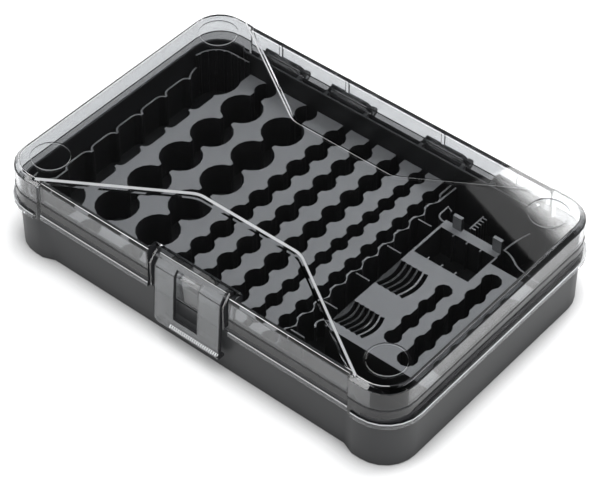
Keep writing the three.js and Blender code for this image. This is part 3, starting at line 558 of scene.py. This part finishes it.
# Grooves across the grip; their floors get painted shade
def cutGrooves(form):
    grip = latch["grip"]
    for step in range(int((grip["right"] - grip["left"]) / grip["pitch"])):
        left = grip["left"] + (step + 0.5) * grip["pitch"]
        right = left + grip["groove"]
        for x in (left, right):
            cutFaces(form, gripFaces(form), (x, 0, 0), (1, 0, 0))
        column = [face for face in gripFaces(form) if left < face.calc_center_median().x / mm < right]
        paint(pullFaces(form, column, grip["depth"]), latchFinishes, "shade")


def isFront(face):
    return face.normal.y < -lean["front"]


def makeLatch():
    form = openNode("latch", dissolve=True)
    for face in form.faces:
        paint([face], latchFinishes, latchFinish(face))
    cutGrooves(form)
    front = [edge for edge in form.edges
             if edge.is_convex and any(isFront(face) for face in edge.link_faces)]
    bends = {mark: [edge for edge in front if isAt(edge, latch[mark], near)] for mark in latch["rounds"]}
    for mark, edges in bends.items():
        faces = roundEdges(form, edges, latch["rounds"][mark])
        paint(faces, latchFinishes, "rim" if mark == "headTop" else "shade")
    # A narrow border down each side of the plate's front gets painted shade, as a dark outline
    for side in (-latch["border"], latch["border"]):
        plain = [face for face in form.faces if isFront(face) and finishOf(face, latchFinishes) != "rim"]
        cutFaces(form, plain, (side, 0, 0), (1, 0, 0))
    border = [face for face in form.faces
              if isFront(face) and abs(face.calc_center_median().x) > latch["border"] * mm]
    paint(border, latchFinishes, "shade")
    closeForm(form, "clearLatch", "latch", "latch", latchFinishes)


# Small tray: the fins between the coin slots get painted shade, near as dark as the shaded slots, and the
# tabs stand out in front in a painted lit tone.
# The rows of slots run from front to back, and coinLeft and right count from the tray's left edge
smallTray = {"top": 28.75, "tabFoot": 29.2, "coinLeft": 1.6, "endLand": 1.1,
             "coinRows": ({"front": -6.6, "back": 20.2, "right": 22.6},
                          {"front": -46.6, "back": -23.8, "right": 24.6})}
smallTrayFinishes = {"tray": trayPlastic, "fin": finShadePlastic, "tab": tabLitPlastic}


def topOfTray(form):
    return [face for face in form.faces if face.normal.z > lean["square"]
            and abs(face.calc_center_median().z / mm - smallTray["top"]) < near]


def makeSmallTray():
    form = openNode("small_cell_tray")
    edgeX = min(vert.co.x for vert in form.verts) / mm
    left = edgeX + smallTray["coinLeft"]
    for row in smallTray["coinRows"]:
        right = edgeX + row["right"]
        front, back = row["front"] + smallTray["endLand"], row["back"] - smallTray["endLand"]
        for x in (left, right):
            cutFaces(form, topOfTray(form), (x, 0, 0), (1, 0, 0))
        for y in (front, back):
            cutFaces(form, topOfTray(form), (0, y, 0), (0, 1, 0))
        for face in topOfTray(form):
            x, y, z = face.calc_center_median() / mm
            if left < x < right and front < y < back:
                paint([face], smallTrayFinishes, "fin")
    tabs = [face for face in form.faces if face.normal.y < -lean["square"]
            and face.calc_center_median().z > smallTray["tabFoot"] * mm]
    paint(tabs, smallTrayFinishes, "tab")
    closeForm(form, "mouldedSmallTray", "small_cell_tray", "small_tray",
              smallTrayFinishes, skin["traySmoothAngle"])


makeLid()
makeLatch()
closeForm(openNode("tub"), "mouldedTub", "tub", "base", {"tub": tubPlastic})
closeForm(openNode("cell_tray"), "mouldedTray", "cell_tray", "base",
          {"tray": trayPlastic}, skin["traySmoothAngle"])
makeSmallTray()
for number in (1, 2, 3, 4):
    dress(nodes[f"hinge_pin_{number}"], pinSteel)
print("pieces made")

# White floor that keeps the box's shadow: a painted contact shadow darkens it near the box, and it is lifted
# a little for the eye
floorLook = {"size": 6, "color": (0.9, 0.9, 0.9, 1), "dark": (0.5, 0.5, 0.5, 1), "roughness": 0.9,
             "lift": 0.32, "contact": 0.014, "samples": 8, "openFade": (0.4, 1.0)}
black = (0, 0, 0, 1)
white = (1, 1, 1, 1)


# 1 for rays from the eye, from gloss and through clear plastic, and 0 for all others
def seenOrMirrored(tree):
    path = addNode(tree, "ShaderNodeLightPath")
    seen = addMath(tree, "MAXIMUM", path.outputs["Is Camera Ray"], path.outputs["Is Glossy Ray"])
    return addMath(tree, "MAXIMUM", seen, path.outputs["Is Transmission Ray"])


def makeFloorWhite():
    material, tree, shader = newMaterial("floorWhite")
    around = addNode(tree, "ShaderNodeAmbientOcclusion", samples=floorLook["samples"],
                     Distance=floorLook["contact"])
    # Painted contact shadow: the occlusion mask darkens the floor's colour and its lift close to the box
    lit = ramp(tree, around.outputs["AO"], *floorLook["openFade"])
    setSockets(tree, shader, {"Base Color": mixColor(tree, lit, floorLook["dark"], floorLook["color"]),
                              "Roughness": floorLook["roughness"]})
    glow = addNode(tree, "ShaderNodeEmission", Strength=floorLook["lift"],
                   Color=mixColor(tree, lit, black, white))
    unlit = addNode(tree, "ShaderNodeEmission", Strength=0.0)
    lift = addNode(tree, "ShaderNodeMixShader", seenOrMirrored(tree), unlit.outputs[0], glow.outputs[0])
    add = addNode(tree, "ShaderNodeAddShader", shader.outputs[0], lift.outputs[0])
    tree.links.new(add.outputs[0], tree.nodes["Material Output"].inputs["Surface"])
    return material


def makeFloor():
    form = bmesh.new()
    bmesh.ops.create_grid(form, x_segments=1, y_segments=1, size=floorLook["size"] / 2)
    mesh = bpy.data.meshes.new("floor")
    form.to_mesh(mesh)
    form.free()
    floor = bpy.data.objects.new("floor", mesh)
    bpy.context.collection.objects.link(floor)
    dress(floor, makeFloorWhite())


makeFloor()

# Studio lamps: place, aim and size in metres, turn in degrees, radiance of the panel. The softbox behind is
# dim along its near edge, and its fade is in shares of its width
lamps = {
    "backSoftbox": {"place": (0.13, 0.984, 1.0), "turn": -20.4, "size": (1.1, 0.6), "radiance": 8,
                    "nearShare": 0.08, "nearFade": (0.055, 0.11)},
    "frontLeftStrip": {"place": (-0.48, -0.96, 0.69), "aim": (0, 0, 0.05), "size": (0.9, 0.3), "radiance": 5},
    "rightSoftbox": {"place": (1.25, -0.2, 0.55), "aim": (0, 0, 0.05), "size": (0.6, 0.4), "radiance": 5},
    "topSoftbox": {"place": (0.3, -0.35, 1.5), "aim": (0, 0, 0), "size": (1.2, 0.8), "radiance": 2.5},
}


def dimNearEdge(data, share, fade):
    data.use_nodes = True
    tree = data.node_tree
    place = addNode(tree, "ShaderNodeNewGeometry").outputs["Parametric"]
    strength = ramp(tree, axisOf(tree, place, "Y"), *fade, share, 1.0, "SMOOTHSTEP")
    tree.links.new(strength, tree.nodes["Emission"].inputs["Strength"])


def makeLamp(name, lamp):
    data = bpy.data.lights.new(name, "AREA")
    data.shape = "RECTANGLE"
    data.size, data.size_y = lamp["size"]
    data.energy = lamp["radiance"] * math.pi * data.size * data.size_y
    light = bpy.data.objects.new(name, data)
    place = Vector(lamp["place"])
    light.location = place
    if "aim" in lamp:
        light.rotation_euler = (place - Vector(lamp["aim"])).to_track_quat("Z", "Y").to_euler()
    else:
        light.rotation_euler = (0, 0, math.radians(lamp["turn"]))
    light.visible_camera = False
    bpy.context.collection.objects.link(light)
    if "nearShare" in lamp:
        dimNearEdge(data, lamp["nearShare"], lamp["nearFade"])


# World: even light, and to the eye and to gloss a white horizon that darkens upward
worldLight = {"color": (0.97, 0.98, 1.0, 1), "strength": 0.4, "horizon": 0.9, "overhead": 0.03,
              "heightFade": (0.1, 0.55)}


def makeWorld():
    world = bpy.data.worlds.new("studio")
    world.use_nodes = True
    tree = world.node_tree
    even = tree.nodes["Background"]
    setSockets(tree, even, {"Color": worldLight["color"], "Strength": worldLight["strength"]})
    height = axisOf(tree, addNode(tree, "ShaderNodeTexCoord").outputs["Generated"], "Z")
    glow = ramp(tree, height, *worldLight["heightFade"], worldLight["horizon"], worldLight["overhead"],
                "SMOOTHSTEP")
    sweep = addNode(tree, "ShaderNodeBackground", Color=worldLight["color"], Strength=glow)
    mix = addNode(tree, "ShaderNodeMixShader", seenOrMirrored(tree), even.outputs[0], sweep.outputs[0])
    tree.links.new(mix.outputs[0], tree.nodes["World Output"].inputs["Surface"])
    bpy.context.scene.world = world


for name, lamp in lamps.items():
    makeLamp(name, lamp)
makeWorld()
bpy.context.scene.view_settings.view_transform = "Standard"
print("floor and lamps set")
